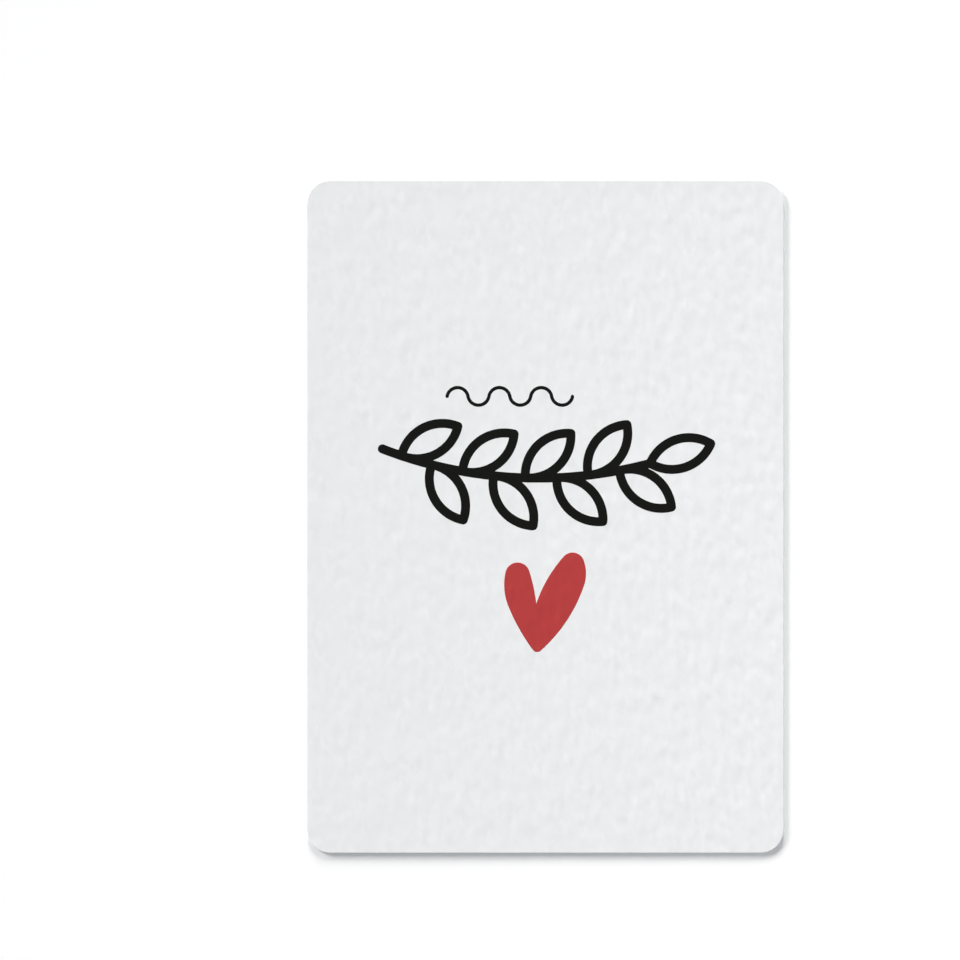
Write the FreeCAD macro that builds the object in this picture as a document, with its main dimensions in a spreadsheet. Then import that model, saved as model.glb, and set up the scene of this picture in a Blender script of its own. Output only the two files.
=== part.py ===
import FreeCAD, Part
import math
import os

import Sketcher
from FreeCAD import Vector

# Greeting card: one flat sheet of textured white card with round corners. Its face is printed
# with a red heart, a black sprig of leaves above it and a thin black wave above the sprig.
# Lengths are millimetres and angles are degrees. The card lies on its back, printed face up:
# X runs to the right of the print, Y to its top edge and Z out of the face. The origin is the
# middle of the back. Angles are measured anticlockwise from X.

# Driving dimensions: name, value, meaning
SIZES = [
    ("card_width", 105.0, "sheet, left to right"),
    ("card_height", 148.0, "sheet, bottom to top"),
    ("card_thickness", 0.45, "sheet"),
    ("corner_radius", 5.2, "sheet's die-cut corners"),
    ("face_edge_radius", 0.15, "rounding that the cutting die leaves on the face's edge"),
    ("ink_thickness", 0.02, "every printed field"),
    ("bold_stroke", 2.0, "width of the sprig's lines"),
    ("thin_stroke", 0.75, "width of the wave's line"),
    ("sprig_center_x", -1.5, "centre of the stem's arc, right of the card's middle"),
    ("sprig_low_y", 8.5, "lowest point of the stem's arc, above the card's middle"),
    ("stem_radius", 95.0, "centre line of the stem"),
    ("stem_start_angle", 248.8, "left end of the stem, seen from its arc's centre"),
    ("stem_turn", 36.2, "angle that the stem spans"),
    ("stem_tail", 2.7, "angle from the stem's left end to its first leaf"),
    ("leaf_pairs", 4, "leaves along each side of the stem"),
    ("leaf_length", 14.0, "leaf's centre line, base to tip"),
    ("leaf_width", 6.4, "leaf's centre line, side to side"),
    ("leaf_splay", 46.0, "angle between a leaf and the stem"),
    ("end_leaf_lift", 3.0, "angle between the last leaf and the stem"),
    ("wave_gap", 6.9, "from the leaves' reach above the stem to the wave's axis"),
    ("wave_x", -7.8, "middle of the wave, right of the card's middle"),
    ("wave_periods", 3, "crests in the wave"),
    ("wave_period", 9.2, "length of one crest and trough"),
    ("wave_slope", 80.0, "angle at which the wave crosses its axis"),
    ("heart_gap", 5.3, "from the leaves' reach below the stem to the heart"),
    ("heart_x", -2.0, "heart's cleft, right of the card's middle"),
    ("left_top_x", -4.1, "centre of the left lobe's top, right of the cleft"),
    ("left_top_y", 6.4, "centre of the left lobe's top, above the cleft"),
    ("left_top_radius", 2.7, "heart's outline"),
    ("left_shoulder_y", 4.2, "centre of the left shoulder, above the cleft"),
    ("left_shoulder_radius", 12.6, "heart's outline"),
    ("left_flank_radius", 44.7, "heart's outline"),
    ("left_inner_radius", 37.7, "heart's outline, from the cleft"),
    ("tip_x", 0.2, "centre of the tip, right of the cleft"),
    ("tip_y", -9.4, "centre of the tip, above the cleft"),
    ("tip_radius", 1.2, "heart's outline"),
    ("right_top_x", 8.0, "centre of the right lobe's top, right of the cleft"),
    ("right_top_y", 8.7, "centre of the right lobe's top, above the cleft"),
    ("right_top_radius", 2.6, "heart's outline"),
    ("right_shoulder_y", 6.7, "centre of the right shoulder, above the cleft"),
    ("right_shoulder_radius", 8.4, "heart's outline"),
    ("right_flank_radius", 33.7, "heart's outline"),
    ("right_inner_radius", 30.1, "heart's outline, from the cleft"),
]

# Sizes that follow from the driving ones, as expressions
STEM_END = "(Sizes.stem_start_angle + Sizes.stem_turn)"
FIRST_LEAF = "(Sizes.stem_start_angle + Sizes.stem_tail)"
LEAF_STEP = "((Sizes.stem_turn - Sizes.stem_tail) / Sizes.leaf_pairs)"
LEAF_SIDE_RADIUS = "(Sizes.leaf_length^2 / Sizes.leaf_width / 4 + Sizes.leaf_width / 4)"
LEAF_REACH = "(Sizes.leaf_length * sin(Sizes.leaf_splay) + Sizes.bold_stroke / 2)"
WAVE_RADIUS = "(Sizes.wave_period / 4 / sin(Sizes.wave_slope))"
WAVE_CENTER_DROP = "(Sizes.wave_period / 4 / tan(Sizes.wave_slope))"
WAVE_LENGTH = "(Sizes.wave_periods * Sizes.wave_period)"

# Ends of an edge and centre of an arc, as a sketch's constraints number them
START, END, CENTER = range(1, 4)
ORIGIN = (-1, START)
X_AXIS = -1

doc = FreeCAD.newDocument("GreetingCard")
sheet = doc.addObject("Spreadsheet::Sheet", "Sizes")
for row, (alias, value, meaning) in enumerate(SIZES, 1):
    sheet.set(f"A{row}", meaning)
    sheet.set(f"B{row}", str(value))
    sheet.setAlias(f"B{row}", alias)
doc.recompute()


def worth(expression):
    """Present value of an expression on the sheet's sizes."""
    return float(sheet.evalExpression(expression))


def size(alias):
    """Present value of one of the sheet's sizes."""
    return worth(f"Sizes.{alias}")


def polar(angle, radius):
    """Point at an angle in degrees and a radius from the sketch's origin."""
    turn = math.radians(angle)
    return Vector(radius * math.cos(turn), radius * math.sin(turn), 0)


# Sketches and features

def new_body(label):
    """Body with a label of its own."""
    body = doc.addObject("PartDesign::Body", label)
    body.Label = label
    return body


def origin_feature(body, role):
    """Origin plane or axis of a body."""
    return next(item for item in body.Origin.OriginFeatures if item.Role == role)


def new_sketch(body, name):
    """Sketch on the body's own XY plane."""
    sketch = body.newObject("Sketcher::SketchObject", name)
    sketch.AttachmentSupport = [(origin_feature(body, "XY_Plane"), "")]
    sketch.MapMode = "FlatFace"
    return sketch


def arc(center, radius, start, end):
    """Arc that runs anticlockwise from the direction of start to that of end."""
    first = math.atan2(start.y - center.y, start.x - center.x)
    last = math.atan2(end.y - center.y, end.x - center.x)
    if last <= first:
        last += 2 * math.pi
    return Part.ArcOfCircle(Part.Circle(center, Vector(0, 0, 1), radius), first, last)


def constrain(sketch, kind, *places):
    """Geometric constraint between edges, or ends of edges, of a sketch."""
    sketch.addConstraint(Sketcher.Constraint(kind, *places))


def dimension(sketch, kind, *places, expression):
    """Dimension of a sketch, bound to the sheet."""
    index = sketch.addConstraint(Sketcher.Constraint(kind, *places, worth(expression)))
    sketch.setExpression(f"Constraints[{index}]", expression)


def pad(body, sketch, name, thickness):
    """Solid between the sketch's outlines, with its thickness bound to the sheet."""
    feature = body.newObject("PartDesign::Pad", name)
    feature.Profile = sketch
    feature.setExpression("Length", thickness)
    body.Tip = feature
    return feature


def place(body, x, y, z):
    """Placement of a body, bound to the sheet."""
    body.setExpression("Placement.Base.x", x)
    body.setExpression("Placement.Base.y", y)
    body.setExpression("Placement.Base.z", z)


# Sheet: a rectangle with round corners, rounded over along the edge of its face

def make_sheet():
    body = new_body("card_sheet")
    sketch = new_sketch(body, "SheetOutline")
    right = size("card_width") / 2
    top = size("card_height") / 2
    radius = size("corner_radius")
    corners = [
        Vector(right, -top, 0),
        Vector(right, top, 0),
        Vector(-right, top, 0),
        Vector(-right, -top, 0),
    ]
    for i, corner in enumerate(corners):
        before = (corners[i - 1] - corner).normalize() * radius
        after = (corners[(i + 1) % 4] - corner).normalize() * radius
        side = Part.LineSegment(corners[i - 1] - before, corner + before)
        sketch.addGeometry([side, arc(corner + before + after, radius, corner + before, corner + after)])
    for side in range(0, 8, 2):
        constrain(sketch, "Tangent", side, END, side + 1, START)
        constrain(sketch, "Tangent", side + 1, END, (side + 2) % 8, START)
        constrain(sketch, "Horizontal" if side % 4 == 0 else "Vertical", side)
        dimension(sketch, "Radius", side + 1, expression="Sizes.corner_radius")
    constrain(sketch, "Symmetric", 1, CENTER, 5, CENTER, *ORIGIN)
    dimension(sketch, "DistanceX", 7, START, 1, END, expression="Sizes.card_width")
    dimension(sketch, "DistanceY", 1, START, 3, END, expression="Sizes.card_height")
    board = pad(body, sketch, "Board", "Sizes.card_thickness")
    doc.recompute()
    heights = [face.CenterOfMass.z for face in board.Shape.Faces]
    rounding = body.newObject("PartDesign::Fillet", "FaceEdge")
    rounding.Base = (board, [f"Face{heights.index(max(heights)) + 1}"])
    rounding.setExpression("Radius", "Sizes.face_edge_radius")
    body.Tip = rounding
    return body


# Sprig: the body's origin is the centre of the stem's arc, so the leaves repeat about it

def sketch_stem(body):
    """Arc of constant width with round ends."""
    sketch = new_sketch(body, "StemOutline")
    half = size("bold_stroke") / 2
    radius = size("stem_radius")
    start = size("stem_start_angle")
    end = worth(STEM_END)
    sketch.addGeometry([
        arc(Vector(), radius + half, polar(start, 1), polar(end, 1)),
        arc(polar(end, radius), half, polar(end, radius - half), polar(end, radius + half)),
        arc(Vector(), radius - half, polar(start, 1), polar(end, 1)),
        arc(polar(start, radius), half, polar(start, radius + half), polar(start, radius - half)),
    ])
    outer, right_end, inner, left_end = range(4)
    constrain(sketch, "Coincident", outer, CENTER, *ORIGIN)
    constrain(sketch, "Coincident", inner, CENTER, *ORIGIN)
    constrain(sketch, "Tangent", outer, END, right_end, END)
    constrain(sketch, "Tangent", inner, END, right_end, START)
    constrain(sketch, "Tangent", inner, START, left_end, END)
    constrain(sketch, "Tangent", outer, START, left_end, START)
    dimension(sketch, "Radius", outer, expression="Sizes.stem_radius + Sizes.bold_stroke / 2")
    dimension(sketch, "Radius", inner, expression="Sizes.stem_radius - Sizes.bold_stroke / 2")
    for cap, angle in ((left_end, "Sizes.stem_start_angle"), (right_end, STEM_END)):
        dimension(sketch, "DistanceX", *ORIGIN, cap, CENTER, expression=f"Sizes.stem_radius * cos({angle})")
    return sketch


def sketch_leaf(body, name, angle, turn):
    """Outlined leaf with its base on the stem at an angle, turned from the stem's own direction.

    Its centre line is two arcs from base to tip. The outer outline goes round both ends, and the
    inner one is pointed.
    """
    sketch = new_sketch(body, name)
    sketch.setExpression("AttachmentOffset.Base.x", f"Sizes.stem_radius * cos({angle})")
    sketch.setExpression("AttachmentOffset.Base.y", f"Sizes.stem_radius * sin({angle})")
    sketch.setExpression("AttachmentOffset.Rotation.Angle", f"({angle} + 90 + {turn}) * 1 deg")
    half = size("bold_stroke") / 2
    tip = Vector(size("leaf_length"), 0, 0)
    radius = worth(LEAF_SIDE_RADIUS)
    drop = radius - size("leaf_width") / 2
    upper_center = Vector(tip.x / 2, -drop, 0)
    lower_center = Vector(tip.x / 2, drop, 0)
    reach = math.sqrt((radius - half) ** 2 - drop ** 2)
    inner_base = Vector(tip.x / 2 - reach, 0, 0)
    inner_tip = Vector(tip.x / 2 + reach, 0, 0)
    sketch.addGeometry([
        arc(upper_center, radius + half, tip, Vector()),
        arc(Vector(), half, Vector() - upper_center, Vector() - lower_center),
        arc(lower_center, radius + half, Vector(), tip),
        arc(tip, half, tip * 2 - lower_center, tip * 2 - upper_center),
        arc(upper_center, radius - half, inner_tip, inner_base),
        arc(lower_center, radius - half, inner_base, inner_tip),
    ])
    upper, base_cap, lower, tip_cap, inner_upper, inner_lower = range(6)
    constrain(sketch, "Tangent", upper, END, base_cap, START)
    constrain(sketch, "Tangent", base_cap, END, lower, START)
    constrain(sketch, "Tangent", lower, END, tip_cap, START)
    constrain(sketch, "Tangent", tip_cap, END, upper, START)
    constrain(sketch, "Coincident", base_cap, CENTER, *ORIGIN)
    constrain(sketch, "PointOnObject", tip_cap, CENTER, X_AXIS)
    dimension(sketch, "DistanceX", base_cap, CENTER, tip_cap, CENTER, expression="Sizes.leaf_length")
    for cap in (base_cap, tip_cap):
        dimension(sketch, "Radius", cap, expression="Sizes.bold_stroke / 2")
    for side in (upper, lower):
        dimension(sketch, "Radius", side, expression=f"{LEAF_SIDE_RADIUS} + Sizes.bold_stroke / 2")
    for side, inner in ((upper, inner_upper), (lower, inner_lower)):
        constrain(sketch, "Coincident", side, CENTER, inner, CENTER)
        dimension(sketch, "Radius", inner, expression=f"{LEAF_SIDE_RADIUS} - Sizes.bold_stroke / 2")
    constrain(sketch, "Coincident", inner_upper, END, inner_lower, START)
    constrain(sketch, "Coincident", inner_lower, END, inner_upper, START)
    return sketch


def add_leaf_row(body, name, angle, turn):
    """Leaves along one side of the stem, repeated about the centre of its arc."""
    leaf = pad(body, sketch_leaf(body, f"{name}Outline", angle, turn), name, "Sizes.ink_thickness")
    pattern = body.newObject("PartDesign::PolarPattern", f"{name}Row")
    pattern.Originals = [leaf]
    pattern.Axis = (origin_feature(body, "Z_Axis"), [""])
    pattern.Mode = "Spacing"
    pattern.setExpression("Offset", f"{LEAF_STEP} * 1 deg")
    pattern.setExpression("Occurrences", "Sizes.leaf_pairs")
    body.Tip = pattern


def make_sprig():
    body = new_body("sprig_print")
    place(body, "Sizes.sprig_center_x", "Sizes.sprig_low_y + Sizes.stem_radius", "Sizes.card_thickness")
    pad(body, sketch_stem(body), "Stem", "Sizes.ink_thickness")
    add_leaf_row(body, "UpperLeaf", FIRST_LEAF, "Sizes.leaf_splay")
    add_leaf_row(body, "LowerLeaf", f"({FIRST_LEAF} + {LEAF_STEP} / 2)", "-Sizes.leaf_splay")
    last_leaf = sketch_leaf(body, "EndLeafOutline", STEM_END, "Sizes.end_leaf_lift")
    pad(body, last_leaf, "EndLeaf", "Sizes.ink_thickness")
    return body


# Wave: the body's origin is the wave's left end, on its axis

def sketch_wave_period(body):
    """Line of constant width over one crest and one trough, each an arc about its own centre."""
    sketch = new_sketch(body, "WaveOutline")
    quarter = size("wave_period") / 4
    half = size("thin_stroke") / 2
    radius = worth(WAVE_RADIUS)
    drop = worth(WAVE_CENTER_DROP)
    slope = size("wave_slope")
    crest = Vector(quarter, -drop, 0)
    trough = Vector(3 * quarter, drop, 0)
    rise = polar(90 + slope, 1)
    fall = polar(90 - slope, 1)
    ends = [Vector(0, 0, 0), Vector(2 * quarter, 0, 0), Vector(4 * quarter, 0, 0)]
    sketch.addGeometry([
        arc(crest, radius + half, ends[1] + fall * half, ends[0] + rise * half),
        arc(trough, radius - half, ends[1] + fall * half, ends[2] + rise * half),
        Part.LineSegment(ends[2] + rise * half, ends[2] - rise * half),
        arc(trough, radius + half, ends[1] - fall * half, ends[2] - rise * half),
        arc(crest, radius - half, ends[1] - fall * half, ends[0] - rise * half),
        Part.LineSegment(ends[0] - rise * half, ends[0] + rise * half),
    ])
    crest_outer, trough_inner, right_end, trough_outer, crest_inner, left_end = range(6)
    constrain(sketch, "Tangent", crest_outer, START, trough_inner, START)
    constrain(sketch, "Tangent", crest_inner, START, trough_outer, START)
    constrain(sketch, "Perpendicular", trough_inner, END, right_end, START)
    constrain(sketch, "Coincident", right_end, END, trough_outer, END)
    constrain(sketch, "Coincident", crest_inner, END, left_end, START)
    constrain(sketch, "Perpendicular", crest_outer, END, left_end, END)
    constrain(sketch, "Coincident", crest_outer, CENTER, crest_inner, CENTER)
    constrain(sketch, "Coincident", trough_outer, CENTER, trough_inner, CENTER)
    constrain(sketch, "Symmetric", left_end, START, left_end, END, *ORIGIN)
    constrain(sketch, "Parallel", left_end, right_end)
    dimension(sketch, "Radius", crest_outer, expression=f"{WAVE_RADIUS} + Sizes.thin_stroke / 2")
    dimension(sketch, "DistanceX", *ORIGIN, crest_outer, CENTER, expression="Sizes.wave_period / 4")
    dimension(sketch, "DistanceX", *ORIGIN, trough_outer, CENTER, expression="Sizes.wave_period * 3 / 4")
    dimension(sketch, "DistanceY", *ORIGIN, trough_outer, CENTER, expression=WAVE_CENTER_DROP)
    dimension(sketch, "Distance", left_end, START, left_end, END, expression="Sizes.thin_stroke")
    return sketch


def sketch_wave_ends(body):
    """Disc at each end of the wave, which rounds its line off."""
    sketch = new_sketch(body, "WaveEndsOutline")
    half = size("thin_stroke") / 2
    for i, length in enumerate(("0", WAVE_LENGTH)):
        sketch.addGeometry(Part.Circle(Vector(worth(length), 0, 0), Vector(0, 0, 1), half))
        constrain(sketch, "PointOnObject", i, CENTER, X_AXIS)
        dimension(sketch, "DistanceX", *ORIGIN, i, CENTER, expression=length)
        dimension(sketch, "Radius", i, expression="Sizes.thin_stroke / 2")
    return sketch


def make_wave():
    body = new_body("wave_print")
    height = f"Sizes.sprig_low_y + {LEAF_REACH} + Sizes.wave_gap"
    place(body, f"Sizes.wave_x - {WAVE_LENGTH} / 2", height, "Sizes.card_thickness")
    period = pad(body, sketch_wave_period(body), "WavePeriod", "Sizes.ink_thickness")
    pattern = body.newObject("PartDesign::LinearPattern", "WavePeriods")
    pattern.Originals = [period]
    pattern.Direction = (origin_feature(body, "X_Axis"), [""])
    pattern.Mode = "Spacing"
    pattern.setExpression("Offset", "Sizes.wave_period")
    pattern.setExpression("Occurrences", "Sizes.wave_periods")
    body.Tip = pattern
    pad(body, sketch_wave_ends(body), "WaveEnds", "Sizes.ink_thickness")
    return body


# Heart: the body's origin is the cleft, and nine arcs run anticlockwise from it round the outline

def crossing(center_a, reach_a, center_b, reach_b):
    """Point at given reaches from two centres, on the left as seen from the first to the second."""
    line = center_b - center_a
    along = (line.Length ** 2 + reach_a ** 2 - reach_b ** 2) / 2 / line.Length
    across = math.sqrt(reach_a ** 2 - along ** 2)
    line.normalize()
    return center_a + line * along + Vector(-line.y, line.x, 0) * across


def touch(center_a, radius_a, center_b, radius_b):
    """Point where two circles, one inside the other, touch."""
    large, small, radius = center_a, center_b, radius_a
    if radius_b > radius_a:
        large, small, radius = center_b, center_a, radius_b
    return large + (small - large).normalize() * radius


def heart_centers(radii):
    """Centres of the heart's arcs, from the four that the sheet places."""
    tip = Vector(size("tip_x"), size("tip_y"), 0)
    centers = {"tip": tip}
    for side, sign in (("left", -1), ("right", 1)):
        top = Vector(size(f"{side}_top_x"), size(f"{side}_top_y"), 0)
        drop = top.y - size(f"{side}_shoulder_y")
        inset = radii[f"{side}_shoulder"] - radii[f"{side}_top"]
        shoulder = top + Vector(-sign * math.sqrt(inset ** 2 - drop ** 2), -drop, 0)
        flank = radii[f"{side}_flank"]
        inner = radii[f"{side}_inner"]
        to_tip = (tip, flank - radii["tip"])
        to_shoulder = (shoulder, flank - radii[f"{side}_shoulder"])
        to_cleft = (Vector(), inner)
        to_top = (top, inner - radii[f"{side}_top"])
        if sign < 0:
            centers["left_flank"] = crossing(*to_shoulder, *to_tip)
            centers["left_inner"] = crossing(*to_cleft, *to_top)
        else:
            centers["right_flank"] = crossing(*to_tip, *to_shoulder)
            centers["right_inner"] = crossing(*to_top, *to_cleft)
        centers[f"{side}_top"] = top
        centers[f"{side}_shoulder"] = shoulder
    return centers


def make_heart():
    body = new_body("heart_print")
    heart_top = f"Sizes.sprig_low_y - {LEAF_REACH} - Sizes.heart_gap"
    height = f"{heart_top} - Sizes.right_top_y - Sizes.right_top_radius"
    place(body, "Sizes.heart_x", height, "Sizes.card_thickness")
    left = ["left_inner", "left_top", "left_shoulder", "left_flank"]
    right = ["right_flank", "right_shoulder", "right_top", "right_inner"]
    names = left + ["tip"] + right
    radii = {name: size(f"{name}_radius") for name in names}
    centers = heart_centers(radii)
    joints = [Vector()]
    for name, following in zip(names, names[1:]):
        joints.append(touch(centers[name], radii[name], centers[following], radii[following]))
    joints.append(Vector())
    sketch = new_sketch(body, "HeartOutline")
    for name, start, end in zip(names, joints, joints[1:]):
        sketch.addGeometry(arc(centers[name], radii[name], start, end))
    edges = range(len(names))
    for edge, following in zip(edges, edges[1:]):
        constrain(sketch, "Tangent", edge, END, following, START)
    constrain(sketch, "Coincident", 0, START, *ORIGIN)
    constrain(sketch, "Coincident", len(names) - 1, END, *ORIGIN)
    for edge, name in enumerate(names):
        dimension(sketch, "Radius", edge, expression=f"Sizes.{name}_radius")
        if name in ("left_top", "tip", "right_top"):
            dimension(sketch, "DistanceX", *ORIGIN, edge, CENTER, expression=f"Sizes.{name}_x")
        if name in ("left_top", "left_shoulder", "tip", "right_shoulder", "right_top"):
            dimension(sketch, "DistanceY", *ORIGIN, edge, CENTER, expression=f"Sizes.{name}_y")
    pad(body, sketch, "Heart", "Sizes.ink_thickness")
    return body


# Model, its tests and its files

bodies = [make_sheet(), make_sprig(), make_wave(), make_heart()]
doc.recompute()
for item in doc.Objects:
    if "Invalid" in item.State or "Error" in item.State:
        raise RuntimeError(f"{item.Label} failed: {item.State}")
    if item.isDerivedFrom("Sketcher::SketchObject") and not item.FullyConstrained:
        raise RuntimeError(f"{item.Label} is not fully constrained")
for body in bodies:
    if body.Shape.isNull() or not body.Shape.isValid() or len(body.Shape.Solids) != 1:
        raise RuntimeError(f"{body.Label} is not one valid solid")

os.makedirs("parts", exist_ok=True)
for body in bodies:
    body.Shape.exportStep(f"parts/{body.Label}.step")
    box = body.Shape.optimalBoundingBox()
    print(f"{body.Label}: {box.XLength:.2f} x {box.YLength:.2f} x {box.ZLength:.2f} mm")
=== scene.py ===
import itertools
import math

import bpy
import numpy as np
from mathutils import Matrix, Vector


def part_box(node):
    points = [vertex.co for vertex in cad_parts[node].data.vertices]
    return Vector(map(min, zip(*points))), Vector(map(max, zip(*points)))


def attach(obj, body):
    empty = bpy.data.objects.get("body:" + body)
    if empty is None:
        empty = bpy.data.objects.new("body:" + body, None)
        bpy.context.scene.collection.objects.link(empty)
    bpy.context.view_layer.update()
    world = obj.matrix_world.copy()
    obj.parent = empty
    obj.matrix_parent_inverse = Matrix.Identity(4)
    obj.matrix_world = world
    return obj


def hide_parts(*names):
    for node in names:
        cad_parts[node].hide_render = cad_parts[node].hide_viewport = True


# Greeting card of white felt-marked board, printed in red and black, lying face up on a white table.
# Lengths are metres and angles radians, apart from the heart's millimetres and the suns' degrees. X runs
# to the right of the print, Y to the card's top edge and Z out of the printed face.

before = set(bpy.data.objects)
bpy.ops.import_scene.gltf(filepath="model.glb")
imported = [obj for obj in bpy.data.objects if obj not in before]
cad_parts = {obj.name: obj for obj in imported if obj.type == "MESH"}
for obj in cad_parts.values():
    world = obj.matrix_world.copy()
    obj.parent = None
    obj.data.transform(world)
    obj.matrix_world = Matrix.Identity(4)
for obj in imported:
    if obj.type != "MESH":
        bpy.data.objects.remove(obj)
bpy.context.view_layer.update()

MM = 0.001

# Sizes of the board, whose back lies at height 0 with its middle at the origin

HALF_WIDTH, HALF_HEIGHT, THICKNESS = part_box("card_sheet")[1]
CORNER_RADIUS = 5.2 * MM
FACE_EDGE_RADIUS = 0.08 * MM
BACK_EDGE_RADIUS = 0.03 * MM
RIM_WIDTH = 0.05 * MM
BOARD_PITCH = 0.47 * MM
BACK_STEP = 2
EDGE_RINGS = 3

# Tooth: the relief that the felt presses into the board

TOOTH_DEPTH = 0.044 * MM
FACE_CELLS = {1.7 * MM: 0.6, 2.9 * MM: 0.4}
BACK_CELLS = {3.5 * MM: 0.8}
MARKS_A_SIDE = 160
MARK_NARROWEST = 0.55
MARK_WIDEST = 0.9
MARK_STRETCH = 2.2
MARK_HEADING = math.radians(107)
MARK_STEEPNESS = 1.7
MARK_NEIGHBOURS = range(-2, 3)
TOOTH_GAIN = 0.25
TOOTH_SEED = 5

# Patterns in the tone and bump of the board and of the ink: the felt's small marks, the patches that
# they come in, single fibres, lumps and a wide cloudiness. The marks are bump, and in the tone they are
# painted light and shade.

# Size, stretch, heading and softness of the felt marks, which are bump and painted light and shade
BUMP_AND_PAINTED_SHADE_MARK_SIZE = 0.7 * MM
BUMP_AND_PAINTED_SHADE_MARK_STRETCH = 1.7
BUMP_AND_PAINTED_SHADE_MARK_HEADING = math.radians(92)
BUMP_AND_PAINTED_SHADE_MARK_SOFTNESS = 0.1
PATCH_SIZE = 2.4 * MM
PATCH_SOFTNESS = 0.25
FIBRE_SIZE = 0.25 * MM
LUMP_SIZE = 0.8 * MM
CLOUD_SIZE = 9 * MM
FIBRE_ROUGHNESS = 0.12
BUMP_SHARES = {"fibre": 0.5, "bump_and_painted_shade_marks": 0.5}

# Finishes: tones from deep to pale, and the shares of the patterns in them. The felt marks' share is
# painted light and shade in the tone.

BOARD_TONES = (0.781, 0.793, 0.801), (0.837, 0.843, 0.848)
RED_TONES = (0.44, 0.0462, 0.0467), (0.474, 0.0582, 0.0581)
BLACK_TONES = (0.007, 0.0073, 0.0065), (0.0115, 0.012, 0.0108)
BOARD_FINISH = {
    "shares": {"cloud": 0.25, "bump_and_painted_shade_marks": 0.65, "grain": 0.1},
    "bump_height": 0.004 * MM,
    "roughness": 0.85,
    "gloss": 0.08,
}
INK_FINISH = {
    "shares": {"cloud": 0.1, "bump_and_painted_shade_marks": 0.15, "grain": 0.75},
    "bump_height": 0.003 * MM,
    "roughness": 0.86,
    "gloss": 0.015,
}

# Ink films

INK_THICKNESS = 0.016 * MM
INK_RIM = 0.09 * MM
INK_PITCH = 0.3 * MM
OVERPRINT_RISE = 0.0006 * MM
BOLD_COLUMNS = 17
THIN_COLUMNS = 13

# Sizes of the sprig and the wave, the same as the solids have

BOLD_STROKE = 2.0 * MM
THIN_STROKE = 0.75 * MM
SPRIG_LOW_Y = 8.5 * MM
STEM_RADIUS = 95.0 * MM
STEM_CENTER = np.array([-1.5 * MM, SPRIG_LOW_Y + STEM_RADIUS])
STEM_START = math.radians(248.8)
STEM_TURN = math.radians(36.2)
STEM_TAIL = math.radians(2.7)
LEAF_PAIRS = 4
LEAF_LENGTH = 14.0 * MM
LEAF_WIDTH = 6.4 * MM
LEAF_SPLAY = math.radians(46)
END_LEAF_LIFT = math.radians(3)
LEAF_REACH = LEAF_LENGTH * math.sin(LEAF_SPLAY) + BOLD_STROKE / 2
WAVE_PERIODS = 3
WAVE_PERIOD = 9.2 * MM
WAVE_SLOPE = math.radians(80)
WAVE_GAP = 6.9 * MM
WAVE_MIDDLE_X = -7.8 * MM
WAVE_START = np.array([
    WAVE_MIDDLE_X - WAVE_PERIODS * WAVE_PERIOD / 2,
    SPRIG_LOW_Y + LEAF_REACH + WAVE_GAP,
])

# Heart's arcs, anticlockwise from the cleft up the left lobe. Places are from the cleft, and the cleft's
# own is from the card's middle.

HEART_RADII = {
    "left_inner": 37.7,
    "left_top": 2.7,
    "left_shoulder": 12.6,
    "left_flank": 44.7,
    "tip": 1.2,
    "right_flank": 33.7,
    "right_shoulder": 8.4,
    "right_top": 2.6,
    "right_inner": 30.1,
}
HEART_TOPS = {"left": np.array([-4.1, 6.4]), "right": np.array([8.0, 8.7])}
HEART_SHOULDER_HEIGHTS = {"left": 4.2, "right": 6.7}
HEART_TIP = np.array([0.2, -9.4])
HEART_MIDDLE = np.array([0.1, -3.6])
HEART_CLEFT = np.array([-2.0, -19.17])
HEART_PITCH = 0.2
HEART_FEWEST_STEPS = 6
HEART_RINGS = 40

# Camera and light

PICTURE_WIDTH = 211.2 * MM
PICTURE_MIDDLE = (-14.36 * MM, 8.07 * MM)
LENS = 85.0
NEAREST_SEEN = 0.01
FARTHEST_SEEN = 50
SUNS = {
    "top": {"share": 0.28, "elevation": 9.5, "azimuth": 92, "spread": 15},
    "top_left": {"share": 0.33, "elevation": 12, "azimuth": 144, "spread": 16},
}
LAMP_COLOR = (1.027, 1, 0.98)
SIDE_SHARE = 0.13
SIDE_ELEVATION = math.radians(60)
SIDE_DISTANCE = 0.32
SIDE_SIZE = 0.16
DOME_SHARE = 0.3
DOME_COLOR = (0.933, 1, 1.049)
WHITE = (1, 1, 1)
FLOOR_WHITE = (1.03, 1.03, 1.03)
FLOOR_SIZE = 6.0
FLOOR_GAP = 0.01 * MM


# Meshes

def mesh_piece(name, points, faces, material, slot, node):
    """A smooth piece of the card that stands for a CAD node, from its points and its four-sided faces.

    A point that no face names is dropped. A face that names a point twice becomes a triangle.
    """
    used, faces = np.unique(faces, return_inverse=True)
    faces = faces.reshape(-1, 4)
    kept = faces != np.roll(faces, 1, axis=1)
    corners = kept.sum(axis=1)
    mesh = bpy.data.meshes.new(name)
    mesh.vertices.add(len(used))
    mesh.vertices.foreach_set("co", points[used].ravel())
    mesh.loops.add(corners.sum())
    mesh.loops.foreach_set("vertex_index", faces[kept])
    mesh.polygons.add(len(faces))
    mesh.polygons.foreach_set("loop_start", corners.cumsum() - corners)
    mesh.polygons.foreach_set("use_smooth", np.ones(len(faces), bool))
    mesh.materials.append(material)
    mesh.update(calc_edges=True)
    piece = bpy.data.objects.new(name, mesh)
    bpy.context.scene.collection.objects.link(piece)
    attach(piece, "root")
    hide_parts(node)


def grid_faces(numbers):
    """Faces between neighbours in a grid of point numbers.

    They are anticlockwise where the grid's columns run to the right and its rows up.
    """
    corners = (numbers[:-1, :-1], numbers[:-1, 1:], numbers[1:, 1:], numbers[1:, :-1])
    return np.stack([corner.ravel() for corner in corners], axis=1)


def rows_of_points(x, y, z):
    """Three grids of coordinates as one list of points."""
    return np.stack([x, y, z], axis=-1).reshape(-1, 3)


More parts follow.
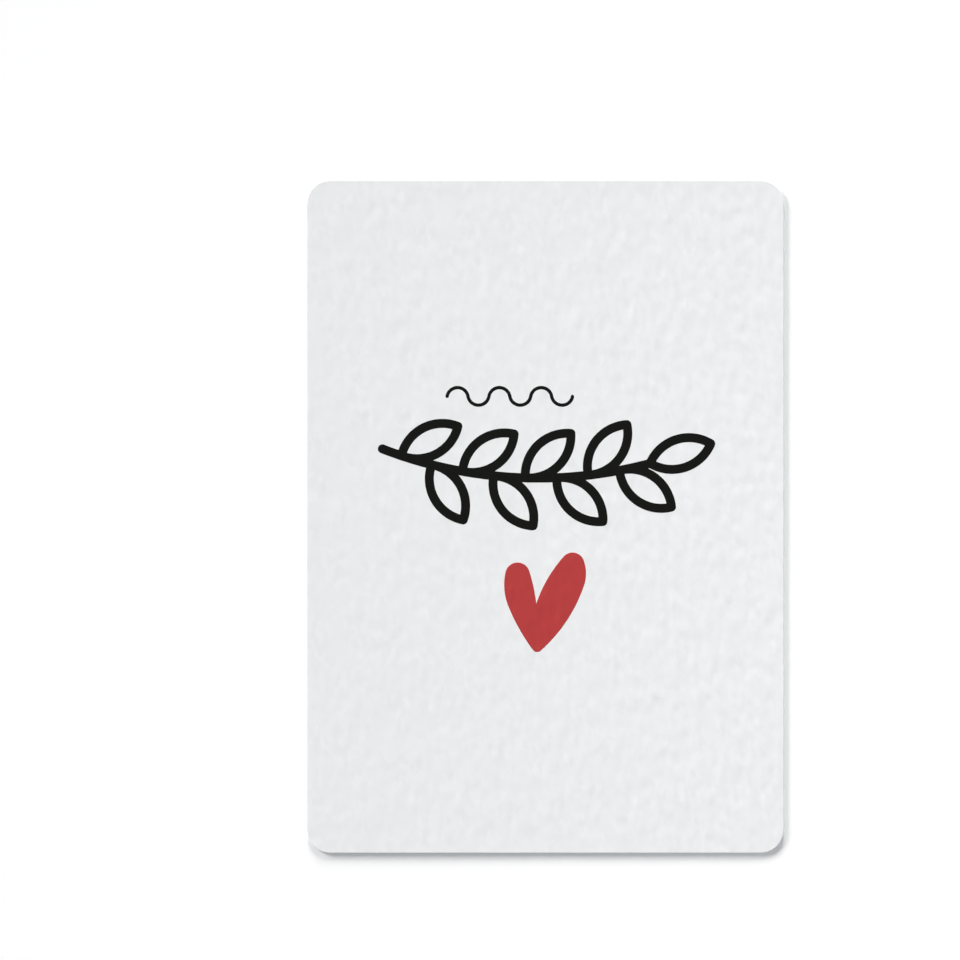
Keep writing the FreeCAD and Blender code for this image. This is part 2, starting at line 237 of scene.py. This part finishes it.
def tooth(x, y, cells):
    """Depth of the tooth below the board's highest points, at any place on the board.

    Cells of each size cover the board, with one mark at a random place in each cell. A mark sinks in or
    stands up by a random height, times the fourth power of one less its squared distance. The distance
    is a share of the mark's reach, which is longer along the marks' heading. A hyperbolic tangent
    limits the sum of the marks in the cells around. The depth grows slowly with x.
    """
    chance = np.random.default_rng(TOOTH_SEED)
    total = np.zeros_like(x)
    for cell, share in cells.items():
        place_x, place_y, size, height = chance.random((4, MARKS_A_SIDE, MARKS_A_SIDE))
        reach = cell * (MARK_NARROWEST + (MARK_WIDEST - MARK_NARROWEST) * size)
        column = np.floor(x / cell).astype(int)
        row = np.floor(y / cell).astype(int)
        for right, up in itertools.product(MARK_NEIGHBOURS, repeat=2):
            mark = (row + up) % MARKS_A_SIDE, (column + right) % MARKS_A_SIDE
            from_x = x - (column + right + place_x[mark]) * cell
            from_y = y - (row + up + place_y[mark]) * cell
            along = from_x * math.cos(MARK_HEADING) + from_y * math.sin(MARK_HEADING)
            across = from_y * math.cos(MARK_HEADING) - from_x * math.sin(MARK_HEADING)
            distance = np.hypot(along / MARK_STRETCH, across) / reach[mark]
            total += share * (2 * height[mark] - 1) * np.clip(1 - distance ** 2, 0, 1) ** 4
    limited = 1 + np.tanh(MARK_STEEPNESS * total)
    return TOOTH_DEPTH / 2 * limited * (1 + TOOTH_GAIN * np.clip(x / HALF_WIDTH, -1, 1))


def face_height(x, y):
    """Height of the board's printed face: its thickness less the tooth."""
    return THICKNESS - tooth(x, y, FACE_CELLS)


def back_height(x, y):
    """Height of the board's back: a tooth of wider marks, pressed in from below."""
    return tooth(x, y, BACK_CELLS)


# Board

def side_steps(half, inset):
    """Places along one side of the sheet, even along the straight and in each corner.

    The last two are close together, so that the edge's rounding doesn't shade the face beside it. The
    straight and each corner have an even number of steps, so every second place keeps their ends.
    """
    straight = half - CORNER_RADIUS
    middle = np.linspace(-straight, straight, 2 * round(straight / BOARD_PITCH) + 1)
    corner = np.linspace(straight, half - inset - RIM_WIDTH, 2 * round(CORNER_RADIUS / BOARD_PITCH / 2))
    end = np.append(corner[1:], half - inset)
    return np.concatenate([-end[::-1], middle, end])


def round_sheet(inset, step=1):
    """Grid over a rectangle with round corners, as far inside the card's outline as inset.

    The grid is even away from the corners. Each corner's square is bent onto a quarter disc: a point's
    larger distance from the square's inner corner becomes its radius, and the ratio of the two its angle.
    """
    straight_x = HALF_WIDTH - CORNER_RADIUS
    straight_y = HALF_HEIGHT - CORNER_RADIUS
    x, y = np.meshgrid(side_steps(HALF_WIDTH, inset)[::step], side_steps(HALF_HEIGHT, inset)[::step])
    over_x = np.maximum(np.abs(x) - straight_x, 0)
    over_y = np.maximum(np.abs(y) - straight_y, 0)
    radius = np.maximum(over_x, over_y)
    ratio = np.minimum(over_x, over_y) / np.where(radius > 0, radius, 1)
    angle = np.where(over_x >= over_y, ratio, 2 - ratio) * math.pi / 4
    bent_x = np.sign(x) * (straight_x + radius * np.cos(angle))
    bent_y = np.sign(y) * (straight_y + radius * np.sin(angle))
    in_corner = (over_x > 0) & (over_y > 0)
    return np.where(in_corner, bent_x, x), np.where(in_corner, bent_y, y)


def rim_of(grid):
    """The outermost values of a grid, anticlockwise from its first corner."""
    return np.concatenate([grid[0, :-1], grid[:-1, -1], grid[-1, :0:-1], grid[:0:-1, 0]])


def make_board(material):
    """The sheet: a face with its tooth, a rounded edge, a cut side, and a back with a tooth of its own.

    The rings of the edge are the face's rim moved outwards and down. Below the face they follow a quarter
    circle, and above the back a smaller one, both as deep in as the tooth is at the rim. The back's grid
    has half as many steps as the face's, so each point of its rim meets two of the last ring.
    """
    face_x, face_y = round_sheet(FACE_EDGE_RADIUS)
    back_x, back_y = round_sheet(BACK_EDGE_RADIUS, BACK_STEP)
    rim_x, rim_y = rim_of(face_x), rim_of(face_y)
    away_x = rim_x - np.clip(rim_x, CORNER_RADIUS - HALF_WIDTH, HALF_WIDTH - CORNER_RADIUS)
    away_y = rim_y - np.clip(rim_y, CORNER_RADIUS - HALF_HEIGHT, HALF_HEIGHT - CORNER_RADIUS)
    away = np.hypot(away_x, away_y)
    turn = np.linspace(0, math.pi / 2, EDGE_RINGS + 1)[:, None]
    sine, cosine = np.sin(turn), np.cos(turn)
    face_ring = face_height(rim_x, rim_y) - FACE_EDGE_RADIUS * (1 - cosine)
    back_ring = back_height(rim_x, rim_y) + BACK_EDGE_RADIUS * (1 - sine)
    out = np.vstack([FACE_EDGE_RADIUS * sine[1:], FACE_EDGE_RADIUS - BACK_EDGE_RADIUS * (1 - cosine[:-1])])
    ring_x = rim_x + out * away_x / away
    ring_y = rim_y + out * away_y / away
    ring_z = np.vstack([face_ring[1:], back_ring[:-1]])
    points = np.concatenate([
        rows_of_points(face_x, face_y, face_height(face_x, face_y)),
        rows_of_points(ring_x, ring_y, ring_z),
        rows_of_points(back_x, back_y, back_height(back_x, back_y)),
    ])
    face = np.arange(face_x.size).reshape(face_x.shape)
    rings = face.size + np.arange(ring_x.size).reshape(ring_x.shape)
    back = face.size + rings.size + np.arange(back_x.size).reshape(back_x.shape)
    wall = np.vstack([rim_of(face), rings, np.repeat(rim_of(back), BACK_STEP)])
    wall = np.column_stack([wall, wall[:, 0]])
    faces = np.vstack([grid_faces(face), grid_faces(wall)[:, ::-1], grid_faces(back)[:, ::-1]])
    mesh_piece("board", points, faces, material, "card_board", "card_sheet")


# Print

def film(x, y, depth_in, layer=0):
    """Heights of the top and underside of an ink film whose points lie depth_in inside its outline.

    Both follow the board's face, and the underside sinks in by half the film's thickness. The film is
    round along its outline, where its two sides meet.
    """
    swell = np.sqrt(1 - (1 - np.clip(depth_in / INK_RIM, 0, 1)) ** 2)
    face = face_height(x, y)
    return face + (INK_THICKNESS + layer * OVERPRINT_RISE) * swell, face - INK_THICKNESS / 2 * swell


def closed_film(x, y, depth_in, layer=0):
    """Points and faces of a film over a grid whose outermost points all lie on its outline.

    The grid's rows run forwards and its columns to the left.
    """
    top, underside = film(x, y, depth_in, layer)
    over = np.arange(x.size).reshape(x.shape)
    under = over + x.size
    under[0, :], under[-1, :] = over[0, :], over[-1, :]
    under[:, 0], under[:, -1] = over[:, 0], over[:, -1]
    points = np.concatenate([rows_of_points(x, y, top), rows_of_points(x, y, underside)])
    return points, np.concatenate([grid_faces(over)[:, ::-1], grid_faces(under)])


def arc_stroke(center, radius, start, turn, width, layer):
    """Pen stroke of constant width along an arc, with round ends.

    Rows run along the stroke and columns across it. At each end the rows go past the arc, by the half
    width times the square root of one less the column's place squared, which makes a half circle.
    """
    length = abs(turn) * radius
    across = np.sin(np.linspace(-1, 1, BOLD_COLUMNS) * math.pi / 2)
    rows = np.linspace(0, 1, round(length / INK_PITCH) + 1)
    past = width / 2 * np.sqrt(1 - across ** 2)
    place = -past + rows[:, None] * (length + 2 * past)
    on_arc = np.clip(place, 0, length)
    beyond = place - on_arc
    sign = math.copysign(1, turn)
    angle = start + sign * on_arc / radius
    side = radius - sign * across * width / 2
    x = center[0] + side * np.cos(angle) - sign * beyond * np.sin(angle)
    y = center[1] + side * np.sin(angle) + sign * beyond * np.cos(angle)
    return closed_film(x, y, width / 2 - np.hypot(beyond, across * width / 2), layer)


def leaf_strokes(angle, splay, layer):
    """The two arcs of a leaf whose base is on the stem at an angle, turned by splay from the stem."""
    heading = angle + math.pi / 2 + splay
    along = np.array([math.cos(heading), math.sin(heading)])
    left = np.array([-along[1], along[0]])
    base = STEM_CENTER + STEM_RADIUS * np.array([math.cos(angle), math.sin(angle)])
    radius = LEAF_LENGTH ** 2 / LEAF_WIDTH / 4 + LEAF_WIDTH / 4
    half_turn = math.asin(LEAF_LENGTH / 2 / radius)
    drop = radius - LEAF_WIDTH / 2
    strokes = []
    for side in (1, -1):
        center = base + along * LEAF_LENGTH / 2 - left * side * drop
        start = heading + side * (math.pi / 2 + half_turn)
        turn = -side * 2 * half_turn
        strokes.append(arc_stroke(center, radius, start, turn, BOLD_STROKE, layer + (side < 0)))
    return strokes


def joined(films):
    """One list of points and one of faces, from several closed films."""
    points, faces = zip(*films)
    first = np.cumsum([0] + [len(list_of_points) for list_of_points in points[:-1]])
    return np.concatenate(points), np.concatenate([numbers + start for numbers, start in zip(faces, first)])


def make_sprig(material):
    """Stem, four pairs of outlined leaves set half a step apart, and a leaf at the stem's end."""
    strokes = [arc_stroke(STEM_CENTER, STEM_RADIUS, STEM_START, STEM_TURN, BOLD_STROKE, 0)]
    step = (STEM_TURN - STEM_TAIL) / LEAF_PAIRS
    for pair in range(LEAF_PAIRS):
        angle = STEM_START + STEM_TAIL + step * pair
        strokes += leaf_strokes(angle, LEAF_SPLAY, 1)
        strokes += leaf_strokes(angle + step / 2, -LEAF_SPLAY, 3)
    strokes += leaf_strokes(STEM_START + STEM_TURN, END_LEAF_LIFT, 5)
    mesh_piece("sprig_ink", *joined(strokes), material, "black_ink", "sprig_print")


def make_wave(material):
    """Thin line of alternating arcs, which cross the wave's axis at its slope, with round ends.

    A row's place along the line gives its half period, and that the arc's centre and its direction.
    """
    half_period = WAVE_PERIOD / 2
    radius = half_period / 2 / math.sin(WAVE_SLOPE)
    arc_length = 2 * WAVE_SLOPE * radius
    arcs = 2 * WAVE_PERIODS
    length = arcs * arc_length
    across = np.sin(np.linspace(-1, 1, THIN_COLUMNS) * math.pi / 2)
    past = THIN_STROKE / 2 * np.sqrt(1 - across ** 2)
    rows = np.linspace(0, 1, round(length / INK_PITCH * 2) + 1)
    place = -past + rows[:, None] * (length + 2 * past)
    on_arc = np.clip(place, 0, length)
    beyond = place - on_arc
    number = np.clip(np.floor(on_arc / arc_length), 0, arcs - 1)
    crest = 1 - 2 * (number % 2)
    lean = (on_arc / arc_length - number - 0.5) * 2 * WAVE_SLOPE
    middle_x = WAVE_START[0] + (number + 0.5) * half_period
    middle_y = WAVE_START[1] - crest * radius * math.cos(WAVE_SLOPE)
    side = radius + crest * across * THIN_STROKE / 2
    x = middle_x + side * np.sin(lean) + beyond * np.cos(lean)
    y = middle_y + crest * (side * np.cos(lean) - beyond * np.sin(lean))
    depth_in = THIN_STROKE / 2 - np.hypot(beyond, across * THIN_STROKE / 2)
    mesh_piece("wave_ink", *closed_film(x, y, depth_in), material, "black_ink", "wave_print")


def crossing(center_a, reach_a, center_b, reach_b):
    """Point at given reaches from two centres, on the left as seen from the first to the second."""
    line = center_b - center_a
    distance = np.hypot(*line)
    along = (distance ** 2 + reach_a ** 2 - reach_b ** 2) / 2 / distance
    across = math.sqrt(reach_a ** 2 - along ** 2)
    return center_a + (line * along + np.array([-line[1], line[0]]) * across) / distance


def heart_centers():
    """Centres of the heart's arcs.

    Where one arc runs on into the next, their centres are as far apart as their radii differ.
    """
    centers = {"tip": HEART_TIP}
    for side, sign in (("left", -1), ("right", 1)):
        top = HEART_TOPS[side]
        drop = top[1] - HEART_SHOULDER_HEIGHTS[side]
        top_radius = HEART_RADII[f"{side}_top"]
        shoulder_radius = HEART_RADII[f"{side}_shoulder"]
        flank = HEART_RADII[f"{side}_flank"]
        inner = HEART_RADII[f"{side}_inner"]
        inwards = math.sqrt((shoulder_radius - top_radius) ** 2 - drop ** 2)
        shoulder = top - np.array([sign * inwards, drop])
        flank_ends = [(shoulder, flank - shoulder_radius), (HEART_TIP, flank - HEART_RADII["tip"])]
        inner_ends = [(np.zeros(2), inner), (top, inner - top_radius)]
        if side == "right":
            flank_ends.reverse()
            inner_ends.reverse()
        centers[f"{side}_top"] = top
        centers[f"{side}_shoulder"] = shoulder
        centers[f"{side}_flank"] = crossing(*flank_ends[0], *flank_ends[1])
        centers[f"{side}_inner"] = crossing(*inner_ends[0], *inner_ends[1])
    return centers


def heart_outline():
    """Points round the heart, millimetres from its cleft: each arc runs to where it touches the next."""
    centers = heart_centers()
    names = list(HEART_RADII)
    joints = [np.zeros(2)]
    for name, following in zip(names, names[1:]):
        large, small = sorted((name, following), key=HEART_RADII.get, reverse=True)
        line = centers[small] - centers[large]
        joints.append(centers[large] + line / np.hypot(*line) * HEART_RADII[large])
    joints.append(np.zeros(2))
    outline = []
    for name, start, end in zip(names, joints, joints[1:]):
        first, last = (math.atan2(*(joint - centers[name])[::-1]) for joint in (start, end))
        turn = (last - first) % (2 * math.pi)
        steps = max(HEART_FEWEST_STEPS, round(turn * HEART_RADII[name] / HEART_PITCH))
        angle = first + turn * np.linspace(0, 1, steps + 1)[:-1]
        outline.append(centers[name] + HEART_RADII[name] * np.stack([np.cos(angle), np.sin(angle)], axis=1))
    return np.concatenate(outline)


def make_heart(material):
    """Rings from a middle point out to the heart's outline, closer together towards it.

    A ring's place is the sine of its share of a quarter turn, along straight lines from the middle.
    """
    outline = heart_outline()
    ring = np.sin(np.linspace(0, 1, HEART_RINGS + 1) * math.pi / 2)[:, None]
    x, y = (HEART_CLEFT + HEART_MIDDLE)[:, None, None] + ring * (outline - HEART_MIDDLE).T[:, None]
    depth_in = (1 - ring) * np.hypot(*(outline - HEART_MIDDLE).T)
    x, y, depth_in = x * MM, y * MM, depth_in * MM
    top, underside = film(x, y, depth_in)
    points = np.concatenate([rows_of_points(x, y, top), rows_of_points(x, y, underside)])
    over = np.arange(x.size).reshape(x.shape)
    under = over + x.size
    under[-1] = over[-1]
    over[0], under[0] = over[0, 0], under[0, 0]
    over = np.column_stack([over, over[:, 0]])
    under = np.column_stack([under, under[:, 0]])
    faces = np.concatenate([grid_faces(over)[:, ::-1], grid_faces(under)])
    mesh_piece("heart_ink", points, faces, material, "red_ink", "heart_print")


# Materials

class Shade:
    """A socket of a material. Operators on it add Math nodes, and node() adds a node of any kind."""

    def __init__(self, tree, socket=None):
        self.tree = tree
        self.socket = socket

    def node(self, kind, settings=None, inputs=None, output=0):
        """A node: its settings are set first, then its inputs, by name or number, are linked or set."""
        made = self.tree.nodes.new(kind)
        for name, value in (settings or {}).items():
            setattr(made, name, value)
        for name, value in (inputs or {}).items():
            if isinstance(value, Shade):
                self.tree.links.new(value.socket, made.inputs[name])
            else:
                made.inputs[name].default_value = value
        return Shade(self.tree, made.outputs[output] if len(made.outputs) else None)

    def maths(self, operation, first, second):
        """A Math node on two values, of which either may be a number."""
        return self.node("ShaderNodeMath", {"operation": operation}, {0: first, 1: second})

    def between(self, first, second):
        """A colour that runs from the first to the second as this value runs from 0 to 1."""
        ends = {"Factor": self, "A": (*first, 1), "B": (*second, 1)}
        return self.node("ShaderNodeMix", {"data_type": "RGBA"}, ends, "Result")

    def __add__(self, other):
        return self.maths("ADD", self, other)

    def __sub__(self, other):
        return self.maths("SUBTRACT", self, other)

    def __rsub__(self, other):
        return self.maths("SUBTRACT", other, self)

    def __mul__(self, other):
        return self.maths("MULTIPLY", self, other)

    __radd__ = __add__
    __rmul__ = __mul__


def new_material(name):
    """A material with an empty tree, and the shade that adds nodes to it."""
    material = bpy.data.materials.new(name)
    material.use_nodes = True
    material.node_tree.nodes.clear()
    return material, Shade(material.node_tree)


def grain(shade, place, size, detail=1):
    """Noise from 0 to 1 with lumps of about a given size in metres."""
    return shade.node("ShaderNodeTexNoise", inputs={"Vector": place, "Scale": 0.5 / size, "Detail": detail})


def blotches(shade, pattern, softness):
    """A pattern with more contrast: it steps from 0 to 1 within the softness on each side of a half."""
    return shade.node("ShaderNodeMapRange", {"interpolation_type": "SMOOTHSTEP"}, {
        "Value": pattern,
        "From Min": 0.5 - softness,
        "From Max": 0.5 + softness,
    })


def paper_material(name, tones, shares, bump_height, roughness, gloss):
    """Matt surface of the board or of ink on it.

    Its tone runs between two by the shares of four patterns: a wide cloudiness, the small marks of the
    felt, which are stretched and come in patches, and the grain of lumps and of single fibres. The bump
    is the last three. In the tone the felt marks are painted light and shade, lighter and darker than
    the board around them.
    """
    material, shade = new_material(name)
    place = shade.node("ShaderNodeTexCoord", output="Object")
    felted = shade.node("ShaderNodeMapping", {"vector_type": "TEXTURE"}, {
        "Vector": place,
        "Rotation": (0, 0, BUMP_AND_PAINTED_SHADE_MARK_HEADING - math.pi / 2),
        "Scale": (1, BUMP_AND_PAINTED_SHADE_MARK_STRETCH, 1),
    })
    fibre = grain(shade, place, FIBRE_SIZE, detail=3)
    lump = grain(shade, place, LUMP_SIZE, detail=2)
    cloud = grain(shade, place, CLOUD_SIZE)
    patch = blotches(shade, grain(shade, place, PATCH_SIZE), PATCH_SOFTNESS)
    # The felt marks: bump, and painted light and shade in the tone
    mark = blotches(shade, grain(shade, felted, BUMP_AND_PAINTED_SHADE_MARK_SIZE), BUMP_AND_PAINTED_SHADE_MARK_SOFTNESS)
    bump_and_painted_shade_marks = (mark - 0.5) * patch + 0.5
    # Tone, with painted light and shade from the felt marks' share
    share = cloud * shares["cloud"] + bump_and_painted_shade_marks * shares["bump_and_painted_shade_marks"] + (fibre + lump) * (shares["grain"] / 2)
    relief = fibre * BUMP_SHARES["fibre"] + lump + bump_and_painted_shade_marks * BUMP_SHARES["bump_and_painted_shade_marks"]
    bump = shade.node("ShaderNodeBump", inputs={"Distance": bump_height, "Height": relief})
    surface = shade.node("ShaderNodeBsdfPrincipled", inputs={
        "Base Color": share.between(*tones),
        "Roughness": fibre * FIBRE_ROUGHNESS + roughness,
        "Normal": bump,
        "Specular IOR Level": gloss,
    })
    shade.node("ShaderNodeOutputMaterial", inputs={"Surface": surface})
    return material


# Table, light and camera

def background_ray(shade):
    """1 for a ray that shows the background: from the camera, off something glossy or through glass."""
    kinds = ("Is Camera Ray", "Is Glossy Ray", "Is Transmission Ray")
    camera, glossy, through = (shade.node("ShaderNodeLightPath", output=kind) for kind in kinds)
    return shade.maths("MAXIMUM", shade.maths("MAXIMUM", camera, glossy), through)


def make_table():
    """White table top, just under the card. As background it shows a little paler, as white all over."""
    bpy.ops.mesh.primitive_plane_add(size=FLOOR_SIZE, location=(0, 0, -FLOOR_GAP))
    table = bpy.context.object
    table.name = "table"
    material, shade = new_material("white_table")
    color = background_ray(shade).between(WHITE, FLOOR_WHITE)
    surface = shade.node("ShaderNodeBsdfDiffuse", inputs={"Color": color})
    shade.node("ShaderNodeOutputMaterial", inputs={"Surface": surface})
    table.data.materials.append(material)


def add_lamp(name, kind, energy, elevation, azimuth):
    """A lamp at the origin that shines down from an elevation, and from an azimuth round from X."""
    light = bpy.data.lights.new(name, kind)
    light.energy = energy
    light.color = LAMP_COLOR
    lamp = bpy.data.objects.new(name, light)
    lamp.rotation_euler = (0, math.pi / 2 - elevation, azimuth)
    bpy.context.scene.collection.objects.link(lamp)
    return lamp


def make_light():
    """Two low soft suns from the card's top and top left, a soft lamp at its right, and an even dome.

    A share is what a lamp adds to white paper that lies flat. They add up to about one, at which a
    colour renders as it is written. The dome is a little blue, which the shadow shows, and the lamps as
    much warmer. As background the dome shows as white.
    """
    for name, sun in SUNS.items():
        elevation = math.radians(sun["elevation"])
        energy = sun["share"] * math.pi / math.sin(elevation)
        lamp = add_lamp(name, "SUN", energy, elevation, math.radians(sun["azimuth"]))
        lamp.data.angle = math.radians(sun["spread"])

    height = SIDE_DISTANCE * math.sin(SIDE_ELEVATION)
    energy = SIDE_SHARE * math.pi ** 2 * SIDE_DISTANCE ** 2 / math.sin(SIDE_ELEVATION)
    side = add_lamp("side", "AREA", energy, SIDE_ELEVATION, 0)
    side.data.size = SIDE_SIZE
    side.location = (SIDE_DISTANCE * math.cos(SIDE_ELEVATION), 0, height)

    world = bpy.data.worlds.new("dome")
    world.use_nodes = True
    world.node_tree.nodes.clear()
    shade = Shade(world.node_tree)
    seen = background_ray(shade)
    dome = shade.node("ShaderNodeBackground", inputs={
        "Color": seen.between(DOME_COLOR, WHITE),
        "Strength": seen * (1 - DOME_SHARE) + DOME_SHARE,
    })
    shade.node("ShaderNodeOutputWorld", inputs={"Surface": dome})
    bpy.context.scene.world = world


def make_camera():
    """Camera that looks straight down, with the picture's width set at the card's face."""
    camera = bpy.data.cameras.new("camera")
    camera.lens = LENS
    camera.clip_start = NEAREST_SEEN
    camera.clip_end = FARTHEST_SEEN
    holder = bpy.data.objects.new("camera", camera)
    holder.location = (*PICTURE_MIDDLE, THICKNESS + PICTURE_WIDTH * LENS / camera.sensor_width)
    bpy.context.scene.collection.objects.link(holder)
    bpy.context.scene.camera = holder


black = paper_material("black_print_ink", BLACK_TONES, **INK_FINISH)
make_board(paper_material("felt_marked_board", BOARD_TONES, **BOARD_FINISH))
make_heart(paper_material("red_print_ink", RED_TONES, **INK_FINISH))
make_sprig(black)
make_wave(black)
make_table()
make_light()
make_camera()
bpy.context.scene.view_settings.view_transform = "Standard"
